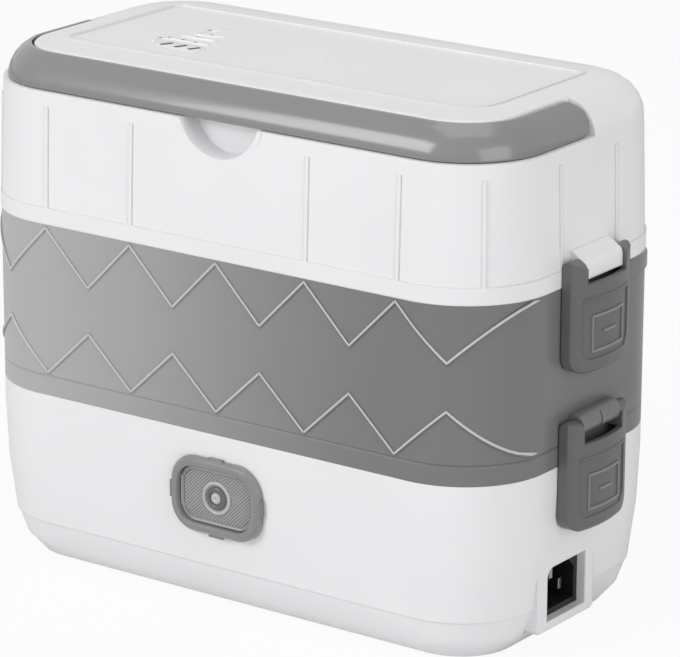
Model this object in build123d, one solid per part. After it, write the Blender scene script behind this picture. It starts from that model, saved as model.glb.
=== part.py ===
from build123d import *
from math import atan2, cos, degrees, hypot, pi, radians, sin, sqrt, tan
import os

os.makedirs("parts", exist_ok=True)

# ---- driving dimensions, mm, +Z up, front = -Y, right end = +X, floor z = 0 ----
A = 117.5            # half length of the body
B = 61.75            # half depth of the body
R = 34.0             # plan corner radius of the outer wall
WALL = 2.4           # moulded wall
Z_PAN = 17.2         # parting line of the bottom pan
Z_TIER = 69.5        # base top, tier bottom
Z_LID = 135.15       # tier top, lid bottom
Z_LEDGE = 184.5      # ledge under the handle
Z_PANEL = 197.0      # top panel of the lid
FIT = 0.05           # running clearance of pins in their bores
GAP = 0.4            # gap of the latches to the walls and of the handle to its ledge
SIDES = 12           # sides of small round pieces
CHORDS = 4           # chords in each corner of bowls, tank, seals and switch button

# base
Z_FLOOR = 1.2        # underside of the pan, above the floor by the pads
PAN_T = 2.2          # pan floor thickness
LEDGE_DROP = 5.5     # ledge that carries the tank flange, below the base top
LEDGE_IN = 8.0       # inset of the inner edge of that ledge
TANK_Z = 36.0        # underside of the tank floor
TANK_IN = 12.4       # inset of the tank wall
TANK_T = 1.2         # tank sheet
FLANGE_IN = 2.6      # inset of the flange edge
PAD_X, PAD_Y, PAD_R = 80.0, 36.0, 7.0
STEM_R = 2.5         # stem of a foot pad
BOSS_REACH = 14.0    # screw boss from the centre of its body corner
BOSS_R = 4.0
BOSS_TOP = 23.0
EAR_IN = 4.7         # inset of the end of the boss rib, inside the wall
SCREW_R = 1.5
SCREW_TOP = 14.0
HEAD_R, HEAD_H = 3.1, 1.1

# under the tank
HEAT_L, HEAT_D, HEAT_T = 120.0, 64.0, 5.0
STAT_X, STAT_R, STAT_H = -25.0, 9.0, 9.0
STAT_STEP = 2.0      # lower, narrower part of the thermostat
BLADE_W, BLADE_T, BLADE_L, BLADE_Y = 3.2, 0.8, 5.0, 3.5
FUSE_X, FUSE_L, FUSE_D, FUSE_H = 20.0, 16.0, 8.0, 5.0
LEAD_R, LEAD_L, LEAD_Z = 0.8, 6.0, 3.0

# switch
SW_Z = 45.65         # switch centre height
SW_W, SW_H, SW_R = 40.1, 28.7, 10.5
SW_RING = 3.5        # bezel ring width
SW_PROUD = 2.5
SW_DEEP = 5.0        # back of the bezel behind the wall face
SW_RECESS = 2.0      # button face behind the bezel face
SW_TRAVEL = 1.5
SW_CLEAR = 0.25      # clearance of the button in its bezel
TAB_W, TAB_H, TAB_T = 6.4, 0.8, 1.2
SW_PLATE = 2.0
SW_SEAT = 0.8        # seat of the button stem in front of the plate
SW_BLOCK_W, SW_BLOCK_H, SW_BLOCK_T = 12.0, 10.0, 2.0
STEM_W = 6.0
LAMP_X, LAMP_W = 9.0, 3.0

# inlet
IN_Y0, IN_Y1 = -20.35, 4.6
IN_Z0, IN_Z1 = 11.1, 31.2
IN_RIM = 2.2         # rim of the socket round its well
PL_Y0, PL_Y1 = -27.2, 9.8
PL_Z0, PL_Z1 = 8.0, 33.0
PL_X = A - 1.9       # face of the inlet plinth
PL_DEEP = 12.0
SOCKET_DEEP = 24.0   # back of the socket behind the wall face

# latches
L_W = 18.6           # half width
L_ARM = 12.4         # inner face of the arms
L_PROUD = 9.0        # middle of the bulged face, in front of the wall
L_FACE_R = 50.0      # radius of the bulged face
L_PLATE = 2.2
L_SKIRT = 2.0
L_CORNER = 7.0
FIELD_W, FIELD_H, FIELD_DEEP = 29.0, 22.2, 0.5   # sunk field of the face
L_PIN_X = 3.2        # pin axis in front of the wall
L_NOSE_R = 2.8
L_LEN = 38.5         # pin to lower edge
L_CLOSED = 0.8       # closed end of the pin bore
L_PLATE_DROP = 5.8   # pin to the top of the plate between the arms
L_LINE_DROP = 11.2   # pin to the ridge across the face
PIN_R = 1.5
UP_PIN_RISE = 6.85   # upper pins above the foot of the lid
LO_PIN_RISE = 13.9   # lower pins above the foot of the tier
CATCH_DROP = 28.0    # pin to foot of the catch
CATCH_OUT = 1.1
CATCH_SLOPE = tan(radians(64.5))
CATCH_GAP = 0.3
CATCH_W = 8.0
LUG_GAP = 0.2        # lug to the latch arms
LUG_R = 4.2          # barrel lug of a lower latch
LUG_DROP = 4.5       # pin to the foot of an upper lug

# handle
H_PIVOT_Y = -1.5
H_END_GAP = 0.4      # end of the handle to its pocket
H_TOP_DROP = 0.3     # top of the panel to the top of the handle
H_PIN_R = 2.0
H_OUT, H_IN = 3.4, 12.3   # insets of the handle
PANEL_IN = 13.2      # inset of the panel wall beside the handle

# bowls
BOWL_GAP = 1.9       # rim to tank wall
BOWL_APART = 2.0     # between the rims of a pair
BOWL_T = 1.0
BOWL_RIM = 2.0
BOWL_TOP_GAP = 1.8   # rim of a lower bowl under the tier floor
BOWL_UP_H = 50.0

# tier
FLOOR_RISE = 6.5     # top of the tier floor above the foot of the tier
FLOOR_T = 2.0
SKIRT_DROP = 2.3     # skirt that hangs into the base
SKIRT_IN = 4.9
GROOVE_RISE = 7.4
PITCH = 39.0         # zigzag lines
LINE_W = 1.0
LINE_H = 0.5
LINE_TIP = 1.25      # line tips from the edge of their band
LINE_RISE = 19.7
BEAD_DROP = 7.75     # bead round the back, below the tier top
BEAD_H = 6.3
BEAD_GAP = 3.9       # bead end to the latch

# lid
BAND_H = 6.35        # proud band at the foot
LIP_DROP = 4.15      # lip that hangs into the tier
LIP_IN = 4.8
SHOULDER_H = 14.0
SHOULDER_IN = 12.8
NOTCH_R = 17.8       # finger notch
NOTCH_RISE = 5.3     # its axis above the ledge
NOTCH_DEEP = 10.4
RIB_X = 39.0
RIB_Y = 18.0
RIB_W = 1.8
RIB_DROP = 5.5       # rib tops below the ledge
FIELD = (22.5, 30.25, 26.5, 22.25)    # insets of the top field: left, front, right, back
FIELD_R, FIELD_CUT = 14.0, 3.0
VENT_X, VENT_Y, VENT_R = -51.0, -15.6, 11.0
VENT_H, VENT_T, VENT_WALL = 4.0, 1.2, 1.4
SEAL_W = 3.0
SEAL_H = 1.8

# derived
LEDGE_Z = Z_TIER - LEDGE_DROP
FLOOR_Z = Z_TIER + FLOOR_RISE
GROOVE_Z = Z_TIER + GROOVE_RISE
BEAD_Z = Z_LID - BEAD_DROP
RIB_TOP = Z_LEDGE - RIB_DROP
NOTCH_Z = Z_LEDGE + NOTCH_RISE
UP_PIN_Z = Z_LID + UP_PIN_RISE
LO_PIN_Z = Z_TIER + LO_PIN_RISE
H_LOW = Z_LEDGE + GAP
H_TOP = Z_PANEL - H_TOP_DROP
H_END_R = (H_TOP - H_LOW) / 2
H_PIVOT_Z = H_LOW + H_END_R
H_POCKET = H_PIVOT_Y + H_END_R + H_END_GAP
FLANGE_Z = LEDGE_Z + TANK_T
SKIRT_Z = Z_TIER - SKIRT_DROP
LIP_Z = Z_LID - LIP_DROP
BAND_Z = Z_LID + BAND_H
SHOULDER_Z = Z_PANEL - SHOULDER_H
TANK_X = A - TANK_IN - TANK_T
TANK_Y = B - TANK_IN - TANK_T
BOWL_L = TANK_X - BOWL_GAP - BOWL_APART / 2 - 2 * BOWL_RIM
BOWL_D = 2 * (TANK_Y - BOWL_GAP - BOWL_RIM)
BOWL_R = R - TANK_IN - TANK_T - BOWL_GAP - BOWL_RIM
BOWL_X = (BOWL_L + BOWL_APART) / 2 + BOWL_RIM
BOWL_LO_H = FLOOR_Z - FLOOR_T - BOWL_TOP_GAP - TANK_Z - TANK_T
BOSS_X = A - R + BOSS_REACH * cos(pi / 4)
BOSS_Y = B - R + BOSS_REACH * sin(pi / 4)


# ---- helpers ----
def block(inset, z0, z1):
    face = Plane.XY.offset(z0) * RectangleRounded(2 * (A - inset), 2 * (B - inset), R - inset)
    return extrude(face, amount=z1 - z0)


def bar(x0, x1, y0, y1, z0, z1):
    return Pos((x0 + x1) / 2, (y0 + y1) / 2, (z0 + z1) / 2) * Box(x1 - x0, y1 - y0, z1 - z0)


def round_face(r, bore=False):
    """Small round section; a bore lies round its circle and a pin inside it."""
    return RegularPolygon(r / cos(pi / SIDES) if bore else r, SIDES)


def disc(x, y, z0, z1, r, bore=False):
    return extrude(Plane.XY.offset(z0) * Pos(x, y) * round_face(r, bore), amount=z1 - z0)


def rod_x(x0, x1, y, z, r, bore=False):
    return extrude(Plane.YZ.offset(x0) * Pos(y, z) * round_face(r, bore), amount=x1 - x0)


def rod_y(y0, y1, x, z, r, bore=False):
    return extrude(Plane.XZ.offset(-y0) * Pos(x, z) * round_face(r, bore), amount=-(y1 - y0))


def drum_y(y0, y1, x, z, r):
    return Pos(x, (y0 + y1) / 2, z) * Rot(90, 0, 0) * Cylinder(r, y1 - y0)


def bend(start, middle, end, steps):
    """Points that follow start along the arc through three points, down to end."""
    (x1, y1), (x2, y2), (x3, y3) = start, middle, end
    d = 2 * (x1 * (y2 - y3) + x2 * (y3 - y1) + x3 * (y1 - y2))
    q1, q2, q3 = x1 * x1 + y1 * y1, x2 * x2 + y2 * y2, x3 * x3 + y3 * y3
    cx = (q1 * (y2 - y3) + q2 * (y3 - y1) + q3 * (y1 - y2)) / d
    cy = (q1 * (x3 - x2) + q2 * (x1 - x3) + q3 * (x2 - x1)) / d
    first = atan2(y1 - cy, x1 - cx)
    turn = (atan2(y3 - cy, x3 - cx) - first + pi) % (2 * pi) - pi
    r = hypot(x1 - cx, y1 - cy)
    angles = [first + turn * i / steps for i in range(1, steps + 1)]
    return [(cx + r * cos(a), cy + r * sin(a)) for a in angles]


def section(points, y=0.0):
    """Face of a wall section drawn in (inset, z), standing in the plane Y = y."""
    face = make_face(Polyline(*[(A - inset, z) for inset, z in points], close=True))
    return Plane(origin=(0, y, 0), x_dir=(1, 0, 0), z_dir=(0, -1, 0)) * face


def half_course(y, back):
    """Plan course of the outer wall round the front or the back, from (A, y) to (-A, y)."""
    sy = 1 if back else -1
    turn = A - R
    side = sy * (B - R)
    with BuildLine() as c:
        Line((A, y), (A, side))
        RadiusArc((A, side), (turn, sy * B), -sy * R)
        Line((turn, sy * B), (-turn, sy * B))
        RadiusArc((-turn, sy * B), (-A, side), -sy * R)
        Line((-A, side), (-A, y))
    return c.line.edges()


def ring(points):
    course = Wire(half_course(0, True) + half_course(0, False))
    return sweep(section(points), path=course)


def half_ring(points, y, back):
    return sweep(section(points, y), path=Wire(half_course(y, back)))


def plan(length, depth, radius):
    """Rounded rectangle with a few chords in each corner."""
    points = []
    for n, (sx, sy) in enumerate(((1, 1), (-1, 1), (-1, -1), (1, -1))):
        for i in range(CHORDS + 1):
            a = pi / 2 * (n + i / CHORDS)
            points.append((sx * (length / 2 - radius) + radius * cos(a), sy * (depth / 2 - radius) + radius * sin(a)))
    return make_face(Polyline(*points, close=True))


def inner(inset, z0, z1):
    face = plan(2 * (A - inset), 2 * (B - inset), R - inset)
    return extrude(Plane.XY.offset(z0) * face, amount=z1 - z0)


def profile_x(points, y0, y1):
    """Prism along Y from (x beyond the wall, z) points."""
    face = make_face(Polyline(*[(A + x, z) for x, z in points], close=True))
    placed = Plane(origin=(0, y0, 0), x_dir=(1, 0, 0), z_dir=(0, -1, 0)) * face
    return extrude(placed, amount=-(y1 - y0))


def both_ends(piece):
    return piece, mirror(piece, about=Plane.YZ)


def corners(x, y):
    return [(sx * x, sy * y) for sx in (-1, 1) for sy in (-1, 1)]


def save(name, *solids):
    pieces = []
    for item in solids:
        pieces.extend(item.solids())
    shape = Compound(children=pieces) if len(pieces) > 1 else pieces[0]
    shape.label = name
    export_step(shape, "parts/" + name + ".step")
    volume = sum(p.volume for p in pieces)
    print(name, len(pieces), "solids", round(volume / 1000, 2), "cm3", all(p.is_valid for p in pieces))


def fused(first, *others):
    result = first
    for other in others:
        result = result + other
    return result


# ---- latches: hooked flap on a pin, and the sloped catch it holds under ----
def catch(z_pin, inset=0.0):
    foot = z_pin - CATCH_DROP
    top = foot + CATCH_OUT * CATCH_SLOPE
    root = -0.8
    points = [(root, foot - 0.2), (-inset, foot), (CATCH_OUT, top), (CATCH_OUT, top + 0.6), (-inset, top + 2.4),
              (root, top + 2.4)]
    return profile_x(points, -CATCH_W, CATCH_W)


def bulge(offset, z0, z1):
    """Upright drum whose side is the bulged outer face of a latch, moved out by offset."""
    return Pos(A + L_PROUD - L_FACE_R, 0, (z0 + z1) / 2) * Cylinder(L_FACE_R + offset, z1 - z0)


def upright(x, width, z0, z1):
    return Plane.YZ.offset(x) * Pos(0, (z0 + z1) / 2) * Rectangle(width, z1 - z0)


def latch(z_pin):
    z_plate = z_pin - L_PLATE_DROP
    z_line = z_pin - L_LINE_DROP
    z_low = z_pin - L_LEN
    z_top = z_pin + L_NOSE_R
    flap = upright(A + GAP, 2 * L_W, z_low, z_top)
    shell = extrude(fillet(flap.vertices().sort_by(Axis.Z)[:2], L_CORNER), amount=L_PROUD + 1)
    shell = shell & bulge(0, z_low - 1, z_top + 1)
    face = [f for f in shell.faces() if f.geom_type == GeomType.CYLINDER and abs(f.center().Y) < 1][0]
    shell = chamfer([e for e in face.edges() if e.center().Z < z_top - 0.1], 1.2)
    nose = [(L_PIN_X + L_NOSE_R * cos(a), z_pin + L_NOSE_R * sin(a)) for a in (radians(d) for d in range(60, 181, 20))]
    side = [(L_PIN_X + 4.4, z_pin - 0.6), (L_PIN_X + 2.9, z_pin + 1.5)] + nose
    side = side + [(L_PIN_X - L_NOSE_R, z_low - 1), (L_PROUD + 1, z_low - 1), (L_PROUD + 1, z_pin - 4.0)]
    shell = shell & profile_x(side, -L_W, L_W)
    hollow_z0 = z_low + L_SKIRT
    hollow = upright(A + GAP - 1, 2 * (L_W - L_SKIRT), hollow_z0, z_plate)
    hollow = extrude(chamfer(hollow.vertices().sort_by(Axis.Z)[:2], L_CORNER - L_SKIRT), amount=L_PROUD + 2)
    shell = shell - (hollow & bulge(-L_PLATE, z_low, z_plate))
    shell = shell - bar(A - 5, A + L_PROUD + 1, -L_ARM, L_ARM, z_plate, z_top + 1)
    shell = shell - rod_y(-L_W + L_CLOSED, L_W - L_CLOSED, A + L_PIN_X, z_pin, PIN_R + FIT, bore=True)
    # outer face: sunk field under a ridge
    sunk = upright(A + 3, FIELD_W, z_line - FIELD_H, z_line - 0.6)
    sunk = extrude(chamfer(sunk.vertices().sort_by(Axis.Z)[:2], 3.0), amount=L_PROUD)
    shell = shell - (sunk - bulge(-FIELD_DEEP, z_low, z_line))
    ridge = bar(A + 3, A + L_PROUD + 1, -FIELD_W / 2, FIELD_W / 2, z_line - 0.6, z_line + 0.4)
    shell = shell + (ridge & bulge(0.4, z_line - 1, z_line + 1) - bulge(-0.8, z_line - 2, z_line + 2))
    # hook
    foot = z_pin - CATCH_DROP
    drop = CATCH_GAP * hypot(1.0, CATCH_SLOPE)
    tip = 0.45
    root = L_PROUD - L_PLATE + 0.3
    points = [(tip, foot + tip * CATCH_SLOPE - drop), (root, foot + root * CATCH_SLOPE - drop),
              (root, foot - 4.0), (tip, foot - 1.2)]
    return shell + profile_x(points, -CATCH_W + 1, CATCH_W - 1)


# ---- heated base ----
base_profile = [(0, Z_TIER), (0, Z_TIER - 9.5), (0.95, 38.0), (3.6, Z_PAN)]
base_profile = base_profile + [(3.6 + WALL, Z_PAN), (WALL, LEDGE_Z - 7.0), (LEDGE_IN, LEDGE_Z),
                               (WALL, LEDGE_Z), (WALL, Z_TIER)]
base = ring(base_profile)
plinth = bar(PL_X - PL_DEEP, PL_X, PL_Y0, PL_Y1, PL_Z0, PL_Z1)
plinth = chamfer(plinth.edges().filter_by(Axis.X), 1.2)
IN_CY = (IN_Y0 + IN_Y1) / 2
IN_CZ = (IN_Z0 + IN_Z1) / 2


def inlet_outline(x):
    face = Plane.YZ.offset(x) * Pos(IN_CY, IN_CZ) * Rectangle(IN_Y1 - IN_Y0, IN_Z1 - IN_Z0)
    corner = face.vertices().sort_by(Axis.Z)[-2:].sort_by(Axis.Y)[:1]
    return fillet(corner, 4.0)


base = base + plinth - extrude(inlet_outline(A - 30), amount=40)
for sx, sy in corners(1, 1):
    reach = (BOSS_REACH - 1.0, R - EAR_IN)
    ear = Pos((reach[0] + reach[1]) / 2, 0, 20.1) * Box(reach[1] - reach[0], 6.0, 2 * (BOSS_TOP - 20.1))
    base = base + Pos(sx * (A - R), sy * (B - R), 0) * Rot(0, 0, degrees(atan2(sy, sx))) * ear
for x, y in corners(BOSS_X, BOSS_Y):
    base = base + disc(x, y, Z_FLOOR + PAN_T, BOSS_TOP, BOSS_R) - disc(x, y, 0, SCREW_TOP, SCREW_R)
switch_cut = Plane.XZ.offset(B - 12) * Pos(0, SW_Z) * RectangleRounded(SW_W, SW_H, SW_R)
base = base - extrude(switch_cut, amount=20)
base = fused(base, *both_ends(catch(LO_PIN_Z)))
save("base_shell", base)

PAN_TOP = Z_FLOOR + PAN_T
pan = ring([(3.9, Z_PAN), (6.3, Z_PAN), (9.2, 9.0), (14.2, PAN_TOP), (18.0, PAN_TOP), (18.0, Z_FLOOR),
            (13.2, Z_FLOOR), (7.2, 8.0)])
pan = pan + block(16.0, Z_FLOOR, PAN_TOP)
pan = pan - bar(PL_X - PL_DEEP, A + 5, PL_Y0, PL_Y1, PL_Z0, Z_PAN + 1)
pads = []
screws = []
for x, y in corners(PAD_X, PAD_Y):
    stem = disc(x, y, Z_FLOOR, PAN_TOP, STEM_R)
    pan = pan - stem
    pads.append(disc(x, y, 0, Z_FLOOR, PAD_R) + stem)
HEAD_Z = Z_FLOOR + 0.1
for x, y in corners(BOSS_X, BOSS_Y):
    pan = pan - disc(x, y, 0, PAN_TOP + 1, SCREW_R + 0.1, bore=True)
    pan = pan - disc(x, y, 0, HEAD_Z + HEAD_H, HEAD_R + 0.3)
    screws.append(disc(x, y, HEAD_Z, HEAD_Z + HEAD_H, HEAD_R) + disc(x, y, HEAD_Z, SCREW_TOP, SCREW_R))
save("base_pan", pan)
save("foot_pads", *pads)
save("pan_screws", *screws)

TANK_TOP = TANK_Z + TANK_T
tank = inner(TANK_IN, TANK_Z, LEDGE_Z) + inner(FLANGE_IN, LEDGE_Z, FLANGE_Z)
tank = tank - inner(TANK_IN + TANK_T, TANK_TOP, FLANGE_Z + 1)
save("heating_tank", tank)
heater = bar(-HEAT_L / 2, HEAT_L / 2, -HEAT_D / 2, HEAT_D / 2, TANK_Z - HEAT_T, TANK_Z)
heater = chamfer(heater.edges().filter_by(Axis.Z), 8.0)
save("heater_plate", heater)
HEAT_Z = TANK_Z - HEAT_T
thermostat = disc(STAT_X, 0, HEAT_Z - STAT_H / 2, HEAT_Z, STAT_R)
thermostat = thermostat + disc(STAT_X, 0, HEAT_Z - STAT_H, HEAT_Z - STAT_H / 2, STAT_R - STAT_STEP)
for y in (-BLADE_Y, BLADE_Y):
    blade = bar(-BLADE_W / 2, BLADE_W / 2, y - BLADE_T / 2, y + BLADE_T / 2, -STAT_H - BLADE_L, -STAT_H)
    thermostat = thermostat + Pos(STAT_X, 0, HEAT_Z) * blade
save("thermostat", thermostat)
fuse = bar(FUSE_X - FUSE_L / 2, FUSE_X + FUSE_L / 2, -FUSE_D / 2, FUSE_D / 2, HEAT_Z - FUSE_H, HEAT_Z)
LEAD_END = FUSE_L / 2 + LEAD_L
fuse = fuse + rod_x(FUSE_X - LEAD_END, FUSE_X + LEAD_END, 0, HEAT_Z - LEAD_Z, LEAD_R)
save("thermal_fuse", fuse)

SOCKET_X = A - SOCKET_DEEP
socket_body = extrude(inlet_outline(SOCKET_X), amount=PL_X - 3.5 - SOCKET_X)
well = Plane.YZ.offset(SOCKET_X + 3) * Pos(IN_CY, IN_CZ) * Rectangle(
    IN_Y1 - IN_Y0 - 2 * IN_RIM, IN_Z1 - IN_Z0 - 2 * IN_RIM)
well = chamfer(well.vertices().sort_by(Axis.Z)[-2:], 4.0)
socket_body = socket_body - extrude(well, amount=30)
pins = []
for dy, dz in ((-6.0, -2.2), (6.0, -2.2), (0.0, 3.4)):
    y = IN_CY + dy
    z = IN_CZ + dz
    pin = bar(SOCKET_X - 1.5, SOCKET_X + 15.5, y - 1.0, y + 1.0, z - 2.0, z + 2.0)
    pins.append(pin)
    socket_body = socket_body - pin
save("inlet_socket", socket_body)
save("inlet_pins", *pins)

FRONT = -B - SW_PROUD
TUBE_BACK = -B + SW_DEEP
HOLE_W = SW_W - 2 * SW_RING
HOLE_H = SW_H - 2 * SW_RING
HOLE_R = SW_R - SW_RING
ring_face = RectangleRounded(SW_W, SW_H, SW_R) - plan(HOLE_W, HOLE_H, HOLE_R)
bezel = extrude(Plane.XZ.offset(-FRONT) * Pos(0, SW_Z) * ring_face, amount=-(TUBE_BACK - FRONT))
lip = bezel.faces().sort_by(Axis.Y)[0]
bezel = chamfer(lip.outer_wire().edges(), 1.2)
for n in (-1, 1):
    bezel = bezel + Pos(0, -B - TAB_T / 2, SW_Z + n * SW_H / 2) * Box(TAB_W, TAB_T, 2 * TAB_H)
    bezel = bezel + Pos(n * SW_W / 2, -B - TAB_T / 2, SW_Z) * Box(2 * TAB_H, TAB_T, TAB_W)
save("switch_bezel", bezel)
plate = Pos(0, TUBE_BACK + SW_PLATE / 2, SW_Z) * Box(SW_W - 2, SW_PLATE, SW_H - 2)
plate = chamfer(plate.edges().filter_by(Axis.Y), SW_R / 2)
SEAT = TUBE_BACK - SW_SEAT
LAMP_T = SW_PLATE + 2 * SW_SEAT
housing = plate + Pos(0, TUBE_BACK - SW_SEAT / 2, SW_Z) * Box(STEM_W, SW_SEAT, STEM_W)
housing = housing + Pos(0, TUBE_BACK + SW_PLATE + SW_BLOCK_T / 2, SW_Z) * Box(SW_BLOCK_W, SW_BLOCK_T, SW_BLOCK_H)
lamp = Pos(LAMP_X, TUBE_BACK + SW_PLATE - LAMP_T / 2, SW_Z) * Box(LAMP_W, LAMP_T, LAMP_W)
save("switch_housing", housing - lamp)
save("indicator_lamp", lamp)
LENS_FRONT = FRONT + SW_RECESS
LENS_BACK = -B + 1.8
LENS_W = HOLE_W - 2 * SW_CLEAR
LENS_H = HOLE_H - 2 * SW_CLEAR
LENS_R = HOLE_R - SW_CLEAR
lens = Plane.XZ.offset(-LENS_FRONT) * Pos(0, SW_Z)
button = extrude(lens * plan(LENS_W, LENS_H, LENS_R), amount=-(LENS_BACK - LENS_FRONT))
button = button - extrude(lens * plan(LENS_W - 2.6, LENS_H - 2.6, LENS_R - 1.3), amount=-0.5)
button = button + rod_y(LENS_FRONT, LENS_FRONT + 0.6, 0, SW_Z, 6.0)
button = button + rod_y(LENS_BACK - 0.2, SEAT - SW_TRAVEL - 0.1, 0, SW_Z, 2.5)
save("switch_button", button)


# ---- bowls ----
def bowl(x, z, height):
    place = Plane.XY.offset(z) * Pos(x, 0)
    body = extrude(place * plan(BOWL_L, BOWL_D, BOWL_R), amount=height)
    body = chamfer(body.faces().sort_by(Axis.Z)[0].edges(), 4.5)
    rim = extrude(place * plan(BOWL_L + 2 * BOWL_RIM, BOWL_D + 2 * BOWL_RIM, BOWL_R + BOWL_RIM), amount=height)
    rim = rim & bar(-A, A, -B, B, z + height - 1.2, z + height)
    inside = extrude(place * plan(BOWL_L - 2 * BOWL_T, BOWL_D - 2 * BOWL_T, BOWL_R - BOWL_T), amount=height + 1)
    inside = chamfer(inside.faces().sort_by(Axis.Z)[0].edges(), 4.0)
    return body + rim - Pos(0, 0, BOWL_T) * inside


for side, sx in (("left", -1), ("right", 1)):
    save("lower_bowl_" + side, bowl(sx * BOWL_X, TANK_TOP, BOWL_LO_H))
    save("upper_bowl_" + side, bowl(sx * BOWL_X, FLOOR_Z, BOWL_UP_H))

# ---- steaming tier ----
FLOOR_LOW = FLOOR_Z - FLOOR_T
tier = ring([(0, Z_TIER), (0, GROOVE_Z - 0.5), (0.5, GROOVE_Z), (0, GROOVE_Z + 0.5), (0, Z_LID), (WALL, Z_LID),
             (WALL, FLOOR_Z), (SKIRT_IN, FLOOR_LOW), (SKIRT_IN, SKIRT_Z), (SKIRT_IN - 2.0, SKIRT_Z),
             (SKIRT_IN - 2.0, Z_TIER)])
deck = block(WALL - 0.4, FLOOR_LOW, FLOOR_Z)
for sx in (-1, 1):
    for k in range(-3, 4):
        deck = deck - bar(sx * BOWL_X - 32, sx * BOWL_X + 32, k * 11.0 - 2.5, k * 11.0 + 2.5, FLOOR_LOW - 1,
                          FLOOR_Z + 1)
tier = tier + deck
bead = ring([(-0.8, BEAD_Z + 1), (0.3, BEAD_Z), (0.3, BEAD_Z + BEAD_H), (-0.8, BEAD_Z + BEAD_H - 1)])
tier = tier + (bead & bar(-A - 5, A + 5, L_W + BEAD_GAP, B + 5, BEAD_Z - 1, BEAD_Z + BEAD_H + 1))


def zigzag(z_tip, rise):
    """Zigzag line drawn in the front view and carried back to the wall."""
    half = LINE_W / 2 * sqrt(2)
    middle = [(n * PITCH / 2, z_tip if n % 2 == 0 else z_tip + rise) for n in range(-6, 7)]
    upper = [(x, z + half) for x, z in middle]
    lower = [(x, z - half) for x, z in reversed(middle)]
    face = make_face(Polyline(*upper, *lower, close=True))
    return extrude(Plane.XZ * face, amount=B + 5)


skin = half_ring([(-LINE_H, GROOVE_Z + 0.7), (-LINE_H, Z_LID - 0.5), (0.3, Z_LID - 0.5), (0.3, GROOVE_Z + 0.7)],
                 -L_W - 1, False)
tier = tier + (skin & zigzag(Z_LID - LINE_TIP, -LINE_RISE)) + (skin & zigzag(GROOVE_Z + LINE_TIP + 0.2, LINE_RISE - 1.4))
# barrel lugs of the lower latches and catches of the upper ones
LUG_Y = L_ARM - LUG_GAP
LUG_Z = LO_PIN_Z + 0.4
lug = rod_y(-LUG_Y, LUG_Y, A + 2.6, LUG_Z, LUG_R)
lug = lug + bar(A - 1.0, A + 2.6, -LUG_Y, LUG_Y, LUG_Z - LUG_R + 0.4, LUG_Z + LUG_R - 0.4)
lug = lug - bar(A + 1.3 + LUG_R, A + 9.0, -0.4, 0.4, LO_PIN_Z - 6, LO_PIN_Z + 6)
lug = lug - rod_y(-L_W, L_W, A + L_PIN_X, LO_PIN_Z, PIN_R)
tier = fused(tier, *both_ends(lug))
tier = fused(tier, *both_ends(catch(UP_PIN_Z)))
save("tier_shell", tier)
seal_z = FLANGE_Z + 0.1
save("tier_seal", inner(3.1, seal_z, SKIRT_Z) - inner(3.1 + SEAL_W, seal_z - 1, SKIRT_Z + 1))


def latch_pins(z):
    pin = rod_y(-L_W + 1.0, L_W - 1.0, A + L_PIN_X, z, PIN_R)
    return both_ends(pin)


save("lower_latch_pins", *latch_pins(LO_PIN_Z))
save("upper_latch_pins", *latch_pins(UP_PIN_Z))
lower_latch = latch(LO_PIN_Z)
upper_latch = latch(UP_PIN_Z)
save("lower_latch_right", lower_latch)
save("lower_latch_left", mirror(lower_latch, about=Plane.YZ))
save("upper_latch_right", upper_latch)
save("upper_latch_left", mirror(upper_latch, about=Plane.YZ))

# ---- lid ----
PLATE_Z = Z_PANEL - WALL
TOP_IN = 20.0
PANEL_BACK = PANEL_IN + WALL
low = [(-0.2, Z_LID), (-0.2, BAND_Z), (0.35, BAND_Z)]
lip = [(2.7, BAND_Z), (LIP_IN, BAND_Z - 3.5), (LIP_IN, LIP_Z), (LIP_IN - 2, LIP_Z), (LIP_IN - 2, Z_LID)]
top = [(TOP_IN, Z_PANEL), (TOP_IN, PLATE_Z)]
shoulder = [(1.65, SHOULDER_Z)] + bend((1.65, SHOULDER_Z), (5.4, Z_PANEL - 4), (SHOULDER_IN, Z_PANEL), 5)
under = [(13.6, PLATE_Z)] + bend((13.6, PLATE_Z), (7.2, PLATE_Z - 3.4), (4.0, SHOULDER_Z), 2)
lid = half_ring(low + shoulder + top + under + lip, H_POCKET, True)
front = [(1.7, Z_LEDGE), (PANEL_IN, Z_LEDGE), (PANEL_IN, Z_PANEL - 0.8), (PANEL_IN + 0.8, Z_PANEL)]
behind = [(PANEL_BACK, PLATE_Z), (PANEL_BACK, Z_LEDGE - WALL), (4.0, Z_LEDGE - WALL)]
lid = lid + half_ring(low + front + top + behind + lip, H_POCKET, False)
stop = shoulder + [(PANEL_BACK, Z_PANEL), (PANEL_BACK, SHOULDER_Z - 1), (1.65, SHOULDER_Z - 1)]
lid = fused(lid, *both_ends(extrude(section(stop, H_POCKET), amount=-WALL)))
lid = lid + block(TOP_IN - 2, PLATE_Z, Z_PANEL)
# finger notch
BELOW = bar(-30, 30, -B - 3, 0, 150, Z_LEDGE)
boss = drum_y(-B + 1.5, -B + NOTCH_DEEP + 2.2, 0, NOTCH_Z, NOTCH_R + 2.2)
lid = lid + (boss & BELOW)
lid = lid - (drum_y(-B - 2, -B + NOTCH_DEEP, 0, NOTCH_Z, NOTCH_R) & Pos(0, 0, 1) * BELOW)
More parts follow.
